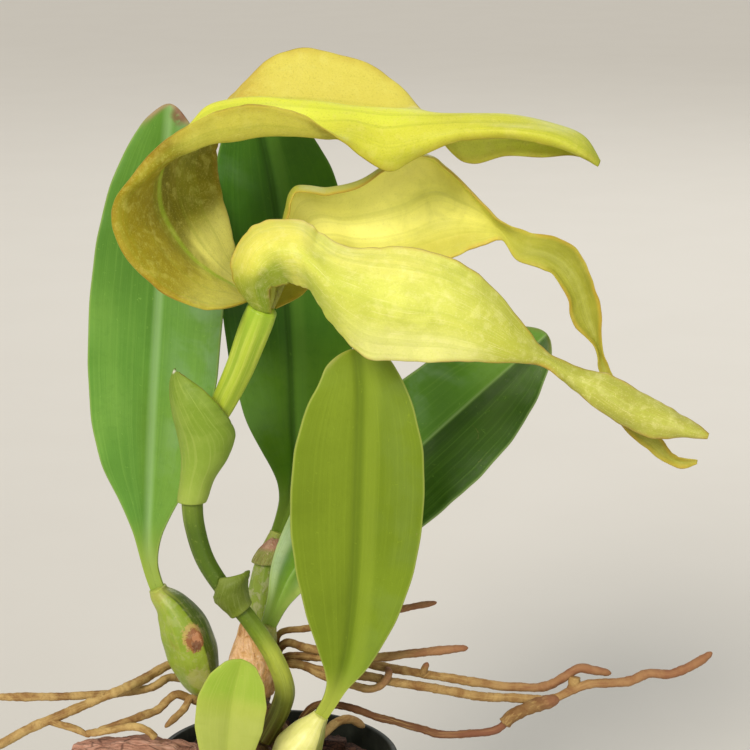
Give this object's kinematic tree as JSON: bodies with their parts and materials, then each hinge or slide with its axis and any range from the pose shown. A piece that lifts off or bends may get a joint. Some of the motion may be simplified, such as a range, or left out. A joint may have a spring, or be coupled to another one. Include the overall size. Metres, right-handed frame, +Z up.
{
  "type": "potted bulbophyllum",
  "caption": "Small orchid in flower in a round dark pot of bark: upright leaves on pseudobulbs, a large hooded yellow-green flower on a bent stem, and bare roots reaching past the rim.",
  "frame": {"origin": "centre of the pot's flat underside", "axes": "+Z up, +X towards the side that the flower opens to, -Y towards the viewer who sees the flower from its side"},
  "size_m": [0.1874, 0.0735, 0.2451],
  "materials": {
    "pot_plastic": "satin",
    "bark": "rough",
    "bark_slab": "rough",
    "rhizome": "rough",
    "root": "rough",
    "pseudobulb": "waxy",
    "leaf": "waxy",
    "leaf_front": "waxy",
    "stem": "waxy",
    "bract": "waxy",
    "dry_sheath": "dry",
    "dorsal_sepal": "waxy",
    "lateral_sepal": "waxy",
    "petal": "waxy",
    "lip": "waxy"
  },
  "bodies": {
    "root": {"pot": "pot_plastic", "bark_medium": "bark", "bark_slab": "bark_slab", "rhizome": "rhizome", "pseudobulb_left": "pseudobulb", "pseudobulb_back": "pseudobulb", "pseudobulb_right": "pseudobulb", "pseudobulb_front": "pseudobulb", "pseudobulb_small": "pseudobulb", "leaf_left": "leaf", "leaf_back": "leaf", "leaf_right": "leaf", "leaf_front": "leaf_front", "leaf_small": "leaf_front", "flower_stem": "stem", "stem_bract": "bract", "floral_bract": "bract", "ovary": "bract", "sheath_right_bulb": "dry_sheath", "sheath_back_bulb": "dry_sheath", "dorsal_sepal": "dorsal_sepal", "lateral_sepal_near": "lateral_sepal", "lateral_sepal_far": "lateral_sepal", "petal_left": "petal", "petal_right": "petal", "column": "petal", "lip": "lip", "roots_left": "root", "roots_right": "root", "root_in_pot": "root"}
  },
  "joints": []
}
